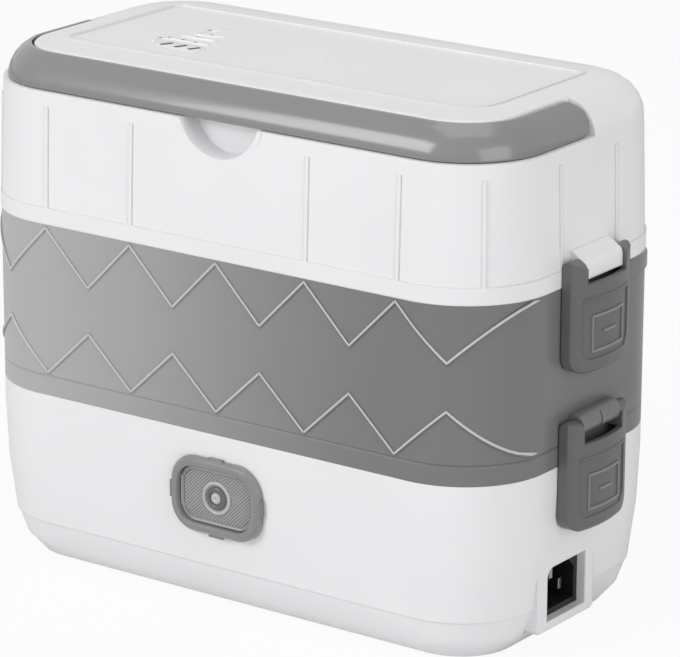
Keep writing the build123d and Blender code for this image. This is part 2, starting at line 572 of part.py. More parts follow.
# ribs round the wall
RIB_Z = BAND_Z - 0.5
rib_skin = ring([(-0.15, RIB_Z), (1.05, RIB_TOP), (1.9, RIB_TOP), (1.0, RIB_Z)])
RIB_MID = (RIB_Z + RIB_TOP) / 2
RIB_H = RIB_TOP - RIB_Z
mask = [Pos(x, sy * B, RIB_MID) * Box(RIB_W, 9, RIB_H) for x in (-2 * RIB_X, -RIB_X, RIB_X, 2 * RIB_X) for sy in (-1, 1)]
mask = mask + [Pos(x, y, RIB_MID) * Box(9, RIB_W, RIB_H) for x, y in corners(A, RIB_Y)]
for sx, sy in corners(1, 1):
    corner_rib = Rot(0, 0, degrees(atan2(sy, sx))) * Pos(R, 0, RIB_MID) * Box(9, RIB_W, RIB_H)
    mask.append(Pos(sx * (A - R), sy * (B - R), 0) * corner_rib)
for piece in mask:
    lid = lid + (rib_skin & piece)


# raised bead and sunk field of the top panel
def top_field(grow):
    left, front_in, right, back_in = FIELD
    length = 2 * A - left - right - 2 * grow
    depth = 2 * B - front_in - back_in - 2 * grow
    face = Pos((left - right) / 2, (front_in - back_in) / 2) * Rectangle(length, depth)
    order = face.vertices().sort_by(lambda v: v.Y - v.X)
    face = chamfer(order[1:], FIELD_CUT - grow * tan(pi / 8))
    return fillet(face.vertices().sort_by(lambda v: v.Y - v.X)[:1], FIELD_R - grow)


lid = lid + extrude(Plane.XY.offset(Z_PANEL - 0.5) * (top_field(0.0) - top_field(1.6)), amount=1.0)
lid = lid - extrude(Plane.XY.offset(Z_PANEL - 0.3) * top_field(1.6), amount=2.0)
for x, y in ((-6.2, -0.3), (0.1, -0.5), (5.8, 0.7)):
    slot = bar(-2.2, 2.2, -0.8, 0.8, PLATE_Z - 2, Z_PANEL + 2)
    lid = lid - Pos(VENT_X + x, VENT_Y + y, 0) * slot
# lugs of the upper latches and bores of the handle pins
slope = radians(45)
lug = profile_x([(-1.0, UP_PIN_Z + 5.2), (0.2, UP_PIN_Z + 5.2), (L_PIN_X + L_NOSE_R * cos(slope),
                 UP_PIN_Z + L_NOSE_R * sin(slope)), (L_PIN_X + L_NOSE_R, UP_PIN_Z), (L_PIN_X + L_NOSE_R, UP_PIN_Z - LUG_DROP),
                 (-1.0, UP_PIN_Z - LUG_DROP)], -LUG_Y, LUG_Y)
lug = lug + rod_y(-LUG_Y, LUG_Y, A + L_PIN_X, UP_PIN_Z, L_NOSE_R)
lug = lug - rod_y(-L_W, L_W, A + L_PIN_X, UP_PIN_Z, PIN_R)
lid = fused(lid, *both_ends(lug))
lid = lid - fused(*both_ends(rod_x(A - PANEL_BACK - 1, A - PANEL_IN + 0.5, H_PIVOT_Y, H_PIVOT_Z, H_PIN_R + FIT,
                                   bore=True)))
save("lid_shell", lid)
save("lid_seal", inner(LIP_IN - 1.9, LIP_Z - SEAL_H, LIP_Z) - inner(LIP_IN - 1.9 + SEAL_W, LIP_Z - 3, LIP_Z + 1))
VENT_Z = PLATE_Z - VENT_H
valve = disc(VENT_X, VENT_Y, VENT_Z, PLATE_Z, VENT_R)
valve = valve - disc(VENT_X, VENT_Y, VENT_Z + VENT_T, Z_PANEL, VENT_R - VENT_WALL)
valve = valve - Pos(VENT_X, VENT_Y, VENT_Z + 1.75 * VENT_T) * Box(3 * VENT_R, VENT_R / 2, 1.5 * VENT_T)
save("vent_valve", valve)

# ---- handle ----
bow = bend((H_OUT, H_LOW + 1.1), (H_OUT + 2.0, H_TOP - 5.2), (H_IN - 1.3, H_TOP), 4)
handle = half_ring([(H_OUT, H_LOW), (H_OUT, H_LOW + 1.1)] + bow + [(H_IN, H_TOP), (H_IN, H_LOW)],
                   H_PIVOT_Y + H_END_R, False)
LOW_END = (H_PIVOT_Y, H_LOW)
BACK_END = (H_PIVOT_Y + H_END_R, H_PIVOT_Z)
TOP_END = (H_PIVOT_Y, H_TOP)
HALF_END = H_END_R * sin(pi / 4)
end = [(-B - 5, H_LOW - 5), (H_PIVOT_Y, H_LOW - 5), LOW_END]
end = end + bend(LOW_END, (H_PIVOT_Y + HALF_END, H_PIVOT_Z - HALF_END), BACK_END, 4)
end = end + bend(BACK_END, (H_PIVOT_Y + HALF_END, H_PIVOT_Z + HALF_END), TOP_END, 4)
end = end + [(H_PIVOT_Y, H_TOP + 5), (-B - 5, H_TOP + 5)]
tail = extrude(Plane.YZ.offset(-A - 5) * make_face(Polyline(*end, close=True)), amount=2 * A + 10)
handle = handle & tail
pin_x = (A - PANEL_BACK + 0.2, A - H_OUT - 3.6)
handle = handle - fused(*both_ends(rod_x(*pin_x, H_PIVOT_Y, H_PIVOT_Z, H_PIN_R)))
save("handle", handle)
save("handle_pins", *both_ends(rod_x(*pin_x, H_PIVOT_Y, H_PIVOT_Z, H_PIN_R)))
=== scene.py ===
"""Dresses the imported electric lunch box: finishes, fine mouldings, stage, lights and camera."""

import math

import bmesh
import bpy
from mathutils import Matrix, Vector


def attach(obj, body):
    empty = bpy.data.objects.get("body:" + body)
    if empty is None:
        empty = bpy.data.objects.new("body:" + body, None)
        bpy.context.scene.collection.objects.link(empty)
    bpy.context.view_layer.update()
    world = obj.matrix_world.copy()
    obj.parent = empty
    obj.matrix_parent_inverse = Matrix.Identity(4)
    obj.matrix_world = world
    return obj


bl_info = {
    "name": "Electric Lunch Box",
    "version": (1, 0, 0),
    "blender": (4, 5, 0),
    "location": "View3D > Sidebar > Lunch Box",
    "description": "Finishes and fine mouldings of a two-tier electric lunch box",
    "category": "Object",
}

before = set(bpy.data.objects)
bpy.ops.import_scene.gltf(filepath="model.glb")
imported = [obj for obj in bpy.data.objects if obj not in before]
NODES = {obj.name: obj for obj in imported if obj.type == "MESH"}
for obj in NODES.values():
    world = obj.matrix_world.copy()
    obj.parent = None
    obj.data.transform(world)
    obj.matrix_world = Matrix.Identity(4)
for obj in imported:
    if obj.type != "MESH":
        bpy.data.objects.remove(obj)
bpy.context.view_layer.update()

# ---- sizes, in mm ----
MM = 0.001
TINY = 1e-6
HALF_LENGTH = 117.5
HALF_DEPTH = 61.75
CORNER = 34.0

LATCH_MIDDLE = 9.0              # middle of a latch's face, out from the end wall
LATCH_RADIUS = 50.0             # of the bulged face
LATCH_PINS = {"upper": 142.0, "lower": 83.4}
LATCH_FRAME_HALF = (9.6, 6.35)  # raised frame on the face: half its width and height
LATCH_FRAME_DROP = 24.2         # from the pin down to the frame's middle
LATCH_LINE = (0.9, 0.15)        # width of a raised line, and how far it stands out
LATCH_UPRIGHT = (0.7, 0.0)      # the same for the frame's upright lines
LATCH_DASH_HALF = 3.2           # short line in the frame
LATCH_RIDGE_HALF = 14.0         # long line across the face
LATCH_RIDGE_DROP = 11.3
LATCH_RIDGE = (0.9, 0.38)
LATCH_LINE_FOOT = -0.8          # the lines reach this deep into the bulged face

ZIGZAG_PITCH = 39.0
ZIGZAG_RIBS = ((133.9, -19.7), (78.35, 18.3))  # height of a rib's tips, and the step to its other corners
ZIGZAG_HIGHLIGHT_SHIFT = (-0.12, 0.22)    # the pale crest, a painted highlight, lies a little left and up on its rib, on the side the key light falls on
ZIGZAG_CREST = (0.75, 0.72)     # width, and how far it stands out

SWITCH_Z = 45.65
BUTTON_FACE = 61.75             # sunk face of the switch button, in front of the middle
BUTTON_SEAT = (29.4, 18.0)      # hatched plate: width and height
BUTTON_SEAT_CORNER = 5.2
BUTTON_SEAT_THICK = 0.2
BUTTON_RING = (5.7, 0.7)        # radius of a turned moulding, and of its round section
BUTTON_WELL = (3.5, 1.1)
BUTTON_DOME = (1.1, 1.2)
BUTTON_RING_OUT = 0.35          # middle of these sections, out from the face
HATCH_PITCH = 0.95
RIM_ENDS = (15.9, 5.6)          # lines at the frame's ends: distance from the middle, half length
RIM_SIDES = (10.0, 11.4)        # lines above and below
RIM_LINE = (0.5, 0.62)

PANEL_FACE = 196.7              # sunk field of the lid's top panel
VENT_UP = -14.9                 # middle of the vent, towards the front of the lid
VENT_CAP_ENDS = (-58.0, -45.4)
VENT_CAP = (8.4, 0.12)          # width, and how far it stands out
SLOT_PLACES = (-58.1, -51.6, -45.4)
SLOT_HALF = (0.7, 1.5)          # half a slot's run, along and across the lid
SLOT = (2.1, 0.14)
GATE_ENDS = (-0.7, -0.5)        # moulding gate, near the middle of the panel
GATE_UP = 2.3
GATE = (1.4, 0.3)
STEAM_LINE = (1.5, 0.6)
STEAM_LINES = (
    ((-65.0, -14.0), (-64.6, -10.2), (-62.4, -7.6), (-56.0, -7.6), (-49.8, -8.3), (-45.2, -7.4)),
    ((-60.8, -1.2), (-54.0, -1.3), (-47.0, -0.6)),
    ((-57.6, 3.6), (-52.0, 4.5), (-47.4, 5.8)),
    ((-59.2, 4.2), (-57.4, 10.2), (-54.0, 15.4)),
)

# ---- finish, light and camera ----
MOTTLE = 0.03                   # how much darker the clouds in a plastic are
MOTTLE_MM = 55                  # and how wide
TIER_PAINTED_LIGHT_FADE = (-0.13, 0.09)       # metres along the tier, from its pale end to its full tint; the pale left end is painted light
FLOOR_GLOW = 0.92               # share of plain white in the floor that the camera sees
ROOM_LIGHT = 0.5                # strength of the world on the object; it is 1 where it is seen
SOFTBOXES = (                   # name, place and side in metres, watts
    ("key_softbox", (-0.75, -1.6, 0.95), 0.9, 14.5),
    ("top_softbox", (0.1, -0.1, 1.4), 1.0, 4),
    ("right_softbox", (1.6, -0.5, 0.45), 1.2, 9),
)
SOFTBOX_AIM = (0, 0, 0.1)
CAMERA_AIM = (8.12, 23.70, 69.5)  # mm to the right and up in the picture, from a point this high
CAMERA_SENSOR = 36


# ---- colour and node helpers ----
def linear(code):
    """sRGB hex code as linear red, green, blue, alpha."""
    out = []
    for i in (1, 3, 5):
        c = int(code[i:i + 2], 16) / 255
        out.append(c / 12.92 if c <= 0.04045 else ((c + 0.055) / 1.055) ** 2.4)
    return (*out, 1.0)


def colour(value):
    """Four-channel colour from an sRGB hex code or from a colour property."""
    return linear(value) if isinstance(value, str) else (*value, 1.0)


def node(tree, kind, links=None, **settings):
    """Adds one shader node, sets its properties and inputs, and links its inputs."""
    made = tree.nodes.new(kind)
    for key, value in settings.items():
        if hasattr(made, key) and key not in made.inputs:
            setattr(made, key, value)
        else:
            made.inputs[key.replace("_", " ")].default_value = value
    for key, source in (links or {}).items():
        tree.links.new(source, made.inputs[key])
    return made


def new_material(name):
    """An empty node material and its tree."""
    material = bpy.data.materials.new(name)
    material.use_nodes = True
    material.node_tree.nodes.clear()
    return material, material.node_tree


def soften(piece):
    """Welds loose triangles and keeps only the hard edges of a moulding sharp."""
    weld = piece.modifiers.new("Weld", "WELD")
    weld.merge_threshold = 0.00001
    split = piece.modifiers.new("HardEdges", "EDGE_SPLIT")
    split.split_angle = math.radians(32)


def settle(shape, name, material, body):
    """Turns a finished bmesh into a piece that rides on a body; consumes the bmesh."""
    bmesh.ops.remove_doubles(shape, verts=shape.verts, dist=0.000002)
    bmesh.ops.recalc_face_normals(shape, faces=shape.faces)
    mesh = bpy.data.meshes.new(name)
    shape.to_mesh(mesh)
    shape.free()
    mesh.materials.append(material)
    for face in mesh.polygons:
        face.use_smooth = True
    piece = bpy.data.objects.new(name, mesh)
    bpy.context.scene.collection.objects.link(piece)
    soften(piece)
    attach(piece, body)
    return piece


def bar(shape, start, end, width, height, low=-0.3, cuts=0):
    """Adds a soft-edged bar between two points of a face, in mm: across, up and out of the face."""
    start, end = Vector(start), Vector(end)
    line, middle = end - start, (start + end) / 2
    before = set(shape.verts)
    made = bmesh.ops.create_cube(shape, size=1.0)["verts"]
    bmesh.ops.scale(shape, vec=(line.length + width, width, height - low), verts=made)
    bmesh.ops.translate(shape, vec=(0, 0, (height + low) / 2), verts=made)
    upright = [e for e in shape.edges
               if e.verts[0] in made and abs(e.verts[0].co.z - e.verts[1].co.z) > TINY]
    bmesh.ops.bevel(shape, geom=upright, offset=width * 0.45, segments=3, profile=0.5,
                    affect="EDGES", material=-1)
    top = max(v.co.z for v in shape.verts if v not in before)
    rim = [e for e in shape.edges
           if e.verts[0] not in before and all(abs(v.co.z - top) < TINY for v in e.verts)
           and any(abs(f.normal.z) < 0.5 for f in e.link_faces)]
    bmesh.ops.bevel(shape, geom=rim, offset=min(width, height) * 0.3, segments=2, profile=0.5,
                    affect="EDGES", material=-1)
    # cuts across the bar let it follow a curved face
    for k in range(cuts):
        mine = [part for kind in (shape.verts, shape.edges, shape.faces) for part in kind
                if not any(v in before for v in getattr(part, "verts", [part]))]
        at = ((k + 1) / (cuts + 1) - 0.5) * line.length
        bmesh.ops.bisect_plane(shape, geom=mine, dist=TINY, plane_co=(at, 0, 0), plane_no=(1, 0, 0))
    mine = [v for v in shape.verts if v not in before]
    turn = Matrix.Rotation(math.atan2(line.y, line.x), 3, "Z")
    bmesh.ops.rotate(shape, cent=(0, 0, 0), matrix=turn, verts=mine)
    bmesh.ops.translate(shape, vec=(middle.x, middle.y, 0), verts=mine)


def lay(shape, place):
    """Carries face coordinates in mm to the object, in metres."""
    for vert in shape.verts:
        vert.co = Vector(place(*vert.co)) * MM
    return shape


def on_front(across, up, out):
    """Front wall and its rounded corners; the distance across is the one seen from the front."""
    turn = HALF_LENGTH - CORNER
    beyond = max(abs(across) - turn, 0.0)
    angle = math.asin(min(beyond / CORNER, 1.0))
    side = math.copysign(1, across)
    return (across + side * out * math.sin(angle),
            -(HALF_DEPTH - CORNER) - CORNER * math.cos(angle) - out * math.cos(angle), up)


def on_latch(side):
    """Bulged face of a latch at the right (1) or left (-1) end."""
    def place(across, up, out):
        bulge = HALF_LENGTH + LATCH_MIDDLE - LATCH_RADIUS + math.sqrt(LATCH_RADIUS ** 2 - across ** 2)
        return side * (bulge + out), side * across, up
    return place


def on_panel(across, up, out):
    """Sunk field of the lid's top panel; up is towards the back."""
    return across, up, PANEL_FACE + out


def on_button(across, up, out):
    """Sunk face of the switch button."""
    return across, -BUTTON_FACE - out, SWITCH_Z + up


def dress(names, material):
    """Gives CAD nodes one finish, with welded smooth shading split at hard edges."""
    for name in names:
        piece = NODES[name]
        piece.data.materials.clear()
        piece.data.materials.append(material)
        for face in piece.data.polygons:
            face.use_smooth = True
            face.material_index = 0
        soften(piece)


def surface(name, code, roughness, grain_mm, depth_mm, edge_mm=0.4, ior=1.49, coat=0.0):
    """Slight mottle, fine grain and softened edges; returns the material, its tree and its shader.

    A real mould's grain is under 0.1 mm. It is drawn coarser here, so that a render holds it.
    """
    material, tree = new_material(name)
    place = node(tree, "ShaderNodeTexCoord")
    cloud = node(tree, "ShaderNodeTexNoise", {"Vector": place.outputs["Object"]},
                 Scale=1.0 / (MOTTLE_MM * MM), Detail=2.0)
    tint = node(tree, "ShaderNodeMapRange", {"Value": cloud.outputs["Fac"]}, **{
        "From Min": 0.3, "From Max": 0.7, "To Min": 1.0 - MOTTLE, "To Max": 1.0})
    base = node(tree, "ShaderNodeMix", {"Factor": tint.outputs["Result"]}, data_type="RGBA")
    base.inputs["A"].default_value = (0, 0, 0, 1)
    base.inputs["B"].default_value = colour(code)
    grain = node(tree, "ShaderNodeTexNoise", {"Vector": place.outputs["Object"]},
                 Scale=1.0 / (grain_mm * MM), Detail=3.0)
    edge = node(tree, "ShaderNodeBevel", samples=6, Radius=edge_mm * MM)
    bump = node(tree, "ShaderNodeBump", {"Height": grain.outputs["Fac"], "Normal": edge.outputs["Normal"]},
                Strength=0.35, Distance=depth_mm * MM)
    shader = node(tree, "ShaderNodeBsdfPrincipled", {
        "Base Color": base.outputs["Result"], "Normal": bump.outputs["Normal"]},
        Roughness=roughness, IOR=ior)
    shader.inputs["Coat Weight"].default_value = coat
    shader.inputs["Coat Roughness"].default_value = 0.08
    node(tree, "ShaderNodeOutputMaterial", {"Surface": shader.outputs["BSDF"]})
    return material, tree, shader


def moulded(*look, **more):
    """A moulded plastic or rubber that needs nothing beyond its surface."""
    return surface(*look, **more)[0]


def metal(*look):
    """A bare or plated metal, at the default IOR."""
    material, _, shader = surface(*look, ior=1.5)
    shader.inputs["Metallic"].default_value = 1.0
    return material


# ---- settings ----
class LunchBoxFinish(bpy.types.PropertyGroup):
    """Colours of the mouldings"""

    white: bpy.props.FloatVectorProperty(
        name="White plastic", description="Colour of the base and lid mouldings", subtype="COLOR",
        size=3, min=0, max=1, default=linear("#f3f3f5")[:3])
    tier: bpy.props.FloatVectorProperty(
        name="Tier plastic", description="Colour of the see-through tier", subtype="COLOR",
        size=3, min=0, max=1, default=linear("#858385")[:3])
    # painted light: the tier's left end is painted this paler colour, where it looks lit
    tier_painted_light: bpy.props.FloatVectorProperty(
        name="Tier plastic, pale end", description="Colour painted on the tier's left end, where it looks lit", subtype="COLOR",
        size=3, min=0, max=1, default=linear("#c8c6c8")[:3])
    # painted highlight: a pale crest on the lit upper-left side of each zigzag rib
    rib: bpy.props.FloatVectorProperty(
        name="Rib crests", description="Colour of the zigzag rib crests", subtype="COLOR",
        size=3, min=0, max=1, default=linear("#cfcdcf")[:3])
    # painted light: the latch lines are painted a shade paler than the face, as they take more light
    latch_line_painted_light: bpy.props.FloatVectorProperty(
        name="Latch lines", description="Colour of the raised frame on the latches", subtype="COLOR",
        size=3, min=0, max=1, default=linear("#8a888a")[:3])
    latch: bpy.props.FloatVectorProperty(
        name="Latch plastic", description="Colour of the side latches", subtype="COLOR",
        size=3, min=0, max=1, default=linear("#6a686a")[:3])
    handle: bpy.props.FloatVectorProperty(
        name="Handle plastic", description="Colour of the carry handle", subtype="COLOR",
        size=3, min=0, max=1, default=linear("#8a888a")[:3])
    bezel: bpy.props.FloatVectorProperty(
        name="Bezel plastic", description="Colour of the switch frame", subtype="COLOR",
        size=3, min=0, max=1, default=linear("#8c8a8c")[:3])


class LunchBoxStage(bpy.types.PropertyGroup):
    """Place and lens of the camera"""

    azimuth: bpy.props.FloatProperty(
        name="Azimuth", description="Camera turn to the right of the front", subtype="ANGLE",
        default=math.radians(35.63))
    elevation: bpy.props.FloatProperty(
        name="Elevation", description="Camera height above the horizon", subtype="ANGLE",
        default=math.radians(17.28))
    roll: bpy.props.FloatProperty(
        name="Roll", description="Camera roll", subtype="ANGLE", default=math.radians(0.21))
    distance: bpy.props.FloatProperty(
        name="Distance", description="Camera distance", unit="LENGTH", default=1.52483)
    focal: bpy.props.FloatProperty(
        name="Focal length", description="Lens for a 36 mm wide sensor, in mm", default=217.4359)


# ---- operators ----
class LUNCHBOX_OT_white_mouldings(bpy.types.Operator):
    """Finishes the white base and lid mouldings"""

    bl_idname = "lunchbox.white_mouldings"
    bl_label = "White mouldings"

    def execute(self, context):
        finish = context.scene.lunch_box_finish
        # moulded polypropylene: clean white satin whose soft edges catch the light
        white = moulded("Moulded_polypropylene_white", finish.white, 0.32, 0.7, 0.02, edge_mm=0.8)
        dress(["base_shell", "base_pan", "lid_shell"], white)
        cap = bmesh.new()
        left, right = VENT_CAP_ENDS
        bar(cap, (left, VENT_UP, 0), (right, VENT_UP, 0), *VENT_CAP)
        settle(lay(cap, on_panel), "vent_cap", white, "lid")
        # matt charcoal bars on the panel: painted shade, so that each slot reads as a dark hole over the valve
        painted_shade = moulded("Painted_shade_vent_slots", "#3c3c3e", 0.5, 0.6, 0.01)
        slots = bmesh.new()
        along, rise = SLOT_HALF
        for across in SLOT_PLACES:
            bar(slots, (across - along, VENT_UP - rise, 0), (across + along, VENT_UP + rise, 0), *SLOT)
        settle(lay(slots, on_panel), "vent_slot_painted_shade", painted_shade, "lid")
        # the same polypropylene from a polished part of the mould: its glints pick out the raised marks
        raised = moulded("Moulded_polypropylene_white_gloss", finish.white, 0.2, 0.7, 0.01, edge_mm=0.5)
        marks = bmesh.new()
        for line in STEAM_LINES:
            for start, end in zip(line, line[1:]):
                bar(marks, (*start, 0), (*end, 0), *STEAM_LINE)
        left, right = GATE_ENDS
        bar(marks, (left, GATE_UP, 0), (right, GATE_UP, 0), *GATE)
        settle(lay(marks, on_panel), "steam_mark", raised, "lid")
        return {"FINISHED"}


class LUNCHBOX_OT_tier(bpy.types.Operator):
    """Finishes the see-through grey tier and its zigzag ribs"""

    bl_idname = "lunchbox.tier"
    bl_label = "See-through tier"

    def execute(self, context):
        finish = context.scene.lunch_box_finish
        # clear polypropylene with a smoke tint: the wall glows where it is thin and lit
        smoke, tree, shader = surface(
            "Moulded_polypropylene_smoke_painted_light", finish.tier, 0.24, 1.2, 0.015, edge_mm=0.5)
        shader.inputs["Transmission Weight"].default_value = 0.15
        # painted light: the tier is painted paler towards the left end, where it looks lit
        base = shader.inputs["Base Color"].links[0].from_node
        place = node(tree, "ShaderNodeTexCoord")
        spot = node(tree, "ShaderNodeSeparateXYZ", {"Vector": place.outputs["Object"]})
        painted_light_fade = node(tree, "ShaderNodeMapRange", {"Value": spot.outputs["X"]},
                    interpolation_type="SMOOTHSTEP", **{
                        "From Min": TIER_PAINTED_LIGHT_FADE[0], "From Max": TIER_PAINTED_LIGHT_FADE[1], "To Min": 0.0, "To Max": 1.0})
        tint = node(tree, "ShaderNodeMix", {"Factor": painted_light_fade.outputs["Result"]}, data_type="RGBA")
        tint.inputs["A"].default_value = colour(finish.tier_painted_light)
        tint.inputs["B"].default_value = colour(finish.tier)
        tree.links.new(tint.outputs["Result"], base.inputs["B"])
        dress(["tier_shell"], smoke)
        # a pale line on the crest of each rib, set up and to the left: painted highlight where the key light
        # falls
        crest_painted_highlight = moulded("Moulded_polypropylene_smoke_rib_painted_highlight", finish.rib, 0.24, 1.2, 0.01, edge_mm=0.3)
        shape = bmesh.new()
        shift_x, shift_z = ZIGZAG_HIGHLIGHT_SHIFT
        for tip, rise in ZIGZAG_RIBS:
            for n in range(-6, 6):
                ends = [(k * ZIGZAG_PITCH / 2, tip if k % 2 == 0 else tip + rise) for k in (n, n + 1)]
                start, end = [(x + shift_x, z + shift_z, 0) for x, z in ends]
                # the runs at both ends go round a corner of the tier
                bar(shape, start, end, *ZIGZAG_CREST, cuts=10 if abs(n + 0.5) > 4 else 1)
        settle(lay(shape, on_front), "zigzag_rib_painted_highlights", crest_painted_highlight, "tier")
        return {"FINISHED"}


class LUNCHBOX_OT_latches(bpy.types.Operator):
    """Finishes the four side latches and raises the frame on each face"""

    bl_idname = "lunchbox.latches"
    bl_label = "Side latches"

    def execute(self, context):
        finish = context.scene.lunch_box_finish
        # moulded ABS: even satin grey that catches light along its edges
        grey = moulded("Moulded_ABS_dark_grey", finish.latch, 0.32, 0.5, 0.015, edge_mm=0.9, ior=1.52)
        dress(["upper_latch_left", "upper_latch_right", "lower_latch_left", "lower_latch_right"], grey)
        # the same ABS on the raised lines, a shade paler, so that they draw the frame: painted light, as the
        # lines take more light than the face
        painted_light = moulded("Moulded_ABS_dark_grey_painted_light_line", finish.latch_line_painted_light, 0.3, 0.5, 0.01,
                       edge_mm=0.3, ior=1.52)
        wide, tall = LATCH_FRAME_HALF
        for level, pin in LATCH_PINS.items():
            middle, ridge = pin - LATCH_FRAME_DROP, pin - LATCH_RIDGE_DROP
            for side, end in ((1, "right"), (-1, "left")):
                shape = bmesh.new()
                for way in (-1, 1):
                    bar(shape, (-wide, middle + way * tall, 0), (wide, middle + way * tall, 0),
                        *LATCH_LINE, low=LATCH_LINE_FOOT, cuts=12)
                    bar(shape, (way * wide, middle - tall, 0), (way * wide, middle + tall, 0),
                        *LATCH_UPRIGHT, low=LATCH_LINE_FOOT)
                bar(shape, (-LATCH_DASH_HALF, middle, 0), (LATCH_DASH_HALF, middle, 0),
                    *LATCH_LINE, low=LATCH_LINE_FOOT, cuts=4)
                bar(shape, (-LATCH_RIDGE_HALF, ridge, 0), (LATCH_RIDGE_HALF, ridge, 0),
                    *LATCH_RIDGE, cuts=14)
                settle(lay(shape, on_latch(side)), level + "_latch_frame_" + end, painted_light,
                       level + "_latch_" + end[0])
        return {"FINISHED"}


class LUNCHBOX_OT_handle(bpy.types.Operator):
    """Finishes the glossy carry handle"""

    bl_idname = "lunchbox.handle"
    bl_label = "Carry handle"

    def execute(self, context):
        finish = context.scene.lunch_box_finish
        # ABS from a polished mould: long soft highlights run along the round bar
        gloss = moulded("Moulded_ABS_gloss_grey", finish.handle, 0.2, 2.5, 0.01, ior=1.52, coat=0.3)
        dress(["handle"], gloss)
        return {"FINISHED"}


def button_seat():
    """Thin plate with rounded corners, hatched, on the face of the button."""
    seat = bmesh.new()
    bmesh.ops.create_grid(seat, x_segments=1, y_segments=1, size=0.5)
    bmesh.ops.scale(seat, vec=(*BUTTON_SEAT, 1), verts=seat.verts)
    bmesh.ops.bevel(seat, geom=seat.verts[:], offset=BUTTON_SEAT_CORNER, segments=6, profile=0.5,
                    affect="VERTICES", material=-1)
    rise = bmesh.ops.extrude_face_region(seat, geom=seat.faces[:])["geom"]
    bmesh.ops.translate(seat, vec=(0, 0, BUTTON_SEAT_THICK),
                        verts=[part for part in rise if isinstance(part, bmesh.types.BMVert)])
    return seat


def turned(radius, section):
    """Round section turned about the button's middle: a ring, or a dome where it reaches the middle."""
    shape = bmesh.new()
    profile = bmesh.ops.create_circle(shape, segments=12, radius=section)["verts"]
    bmesh.ops.rotate(shape, cent=(0, 0, 0), matrix=Matrix.Rotation(math.pi / 2, 3, "X"), verts=profile)
    bmesh.ops.translate(shape, vec=(radius, 0, BUTTON_RING_OUT), verts=profile)
    if radius < section:
        bmesh.ops.bisect_plane(shape, geom=shape.verts[:] + shape.edges[:], dist=TINY,
                               plane_co=(0, 0, 0), plane_no=(-1, 0, 0), clear_outer=True)
    bmesh.ops.spin(shape, geom=shape.verts[:] + shape.edges[:], cent=(0, 0, 0), axis=(0, 0, 1),
                   angle=math.tau, steps=40, use_merge=True)
    bmesh.ops.remove_doubles(shape, verts=shape.verts, dist=1e-4)
    return shape


class LUNCHBOX_OT_switch(bpy.types.Operator):
    """Finishes the switch frame, its clear button and what is behind it"""

    bl_idname = "lunchbox.switch"
    bl_label = "Switch"

    def execute(self, context):
        finish = context.scene.lunch_box_finish
        # ABS from a polished mould: a line of light follows the frame's rolled edge
        frame_grey = moulded("Moulded_ABS_gloss_grey_bezel", finish.bezel, 0.2, 1.5, 0.01,
                             edge_mm=1.5, ior=1.52, coat=0.3)
        dress(["switch_bezel"], frame_grey)
        # clear acrylic: a bright, slightly deep rim round the hatched plate
        lens, _, shader = surface("Moulded_acrylic_clear_smoke", "#b4b2b4", 0.12, 1.5, 0.03, edge_mm=0.5)
        shader.inputs["Transmission Weight"].default_value = 0.2
        dress(["switch_button"], lens)
        # hatched acrylic: fine diagonal lines that shimmer from pale to mid grey
        hatch, tree, shader = surface("Moulded_acrylic_hatched", "#b0aeb0", 0.2, 1.5, 0.02, edge_mm=0.2)
        place = node(tree, "ShaderNodeTexCoord")
        across = node(tree, "ShaderNodeMapping", {"Vector": place.outputs["Object"]}, vector_type="POINT")
        across.inputs["Scale"].default_value = (1, 0, -1)
        # Real hatching is finer; this pitch is drawn coarser, so that a render holds each line.
        # The bands repeat every 2 pi / (10 x scale).
        lines = node(tree, "ShaderNodeTexWave", {"Vector": across.outputs["Vector"]},
                     bands_direction="DIAGONAL", Distortion=0.6,
                     Scale=math.tau / (10 * HATCH_PITCH * math.sqrt(2) * MM))
        groove = node(tree, "ShaderNodeBump", {"Height": lines.outputs["Fac"]},
                      Strength=0.9, Distance=0.3 * MM)
        tree.links.new(groove.outputs["Normal"], shader.inputs["Normal"])
        shade = node(tree, "ShaderNodeMix", {"Factor": lines.outputs["Fac"]}, data_type="RGBA")
        shade.inputs["A"].default_value = colour("#8a888a")
        shade.inputs["B"].default_value = colour("#b6b4b6")
        tree.links.new(shade.outputs["Result"], shader.inputs["Base Color"])
        settle(lay(button_seat(), on_button), "button_hatching", hatch, "switch")
        # clear acrylic in thick rings, painted pale: painted highlight on the raised ring, dome and rim lines,
        # with a crisp glint on each shoulder
        painted_light = moulded("Moulded_acrylic_clear_painted_highlight", "#c6c4c6", 0.1, 1.5, 0.02, edge_mm=0.3)
        # painted shade: the well round the dome is painted dark and sets off the dome
        painted_shade = moulded("Moulded_acrylic_painted_shade", "#6a686a", 0.15, 1.5, 0.02, edge_mm=0.3)
        settle(lay(turned(*BUTTON_RING), on_button), "button_ring", painted_light, "switch")
        settle(lay(turned(*BUTTON_WELL), on_button), "button_well_painted_shade", painted_shade, "switch")
        settle(lay(turned(*BUTTON_DOME), on_button), "button_dome", painted_light, "switch")
        # pale raised lines along the button's rim: painted highlight
        rim = bmesh.new()
        for side in (-1, 1):
            far, half = RIM_ENDS
            bar(rim, (side * far, -half, 0), (side * far, half, 0), *RIM_LINE, low=0.3)
            far, half = RIM_SIDES
            bar(rim, (-half, side * far, 0), (half, side * far, 0), *RIM_LINE, low=0.3)
        settle(lay(rim, on_button), "button_rim_painted_highlights", painted_light, "switch")
        # moulded nylon: plain matt black that stays quiet behind the button
        inner = moulded("Moulded_nylon_black", "#28282a", 0.5, 0.5, 0.01)
        dress(["switch_housing", "indicator_lamp"], inner)
        return {"FINISHED"}


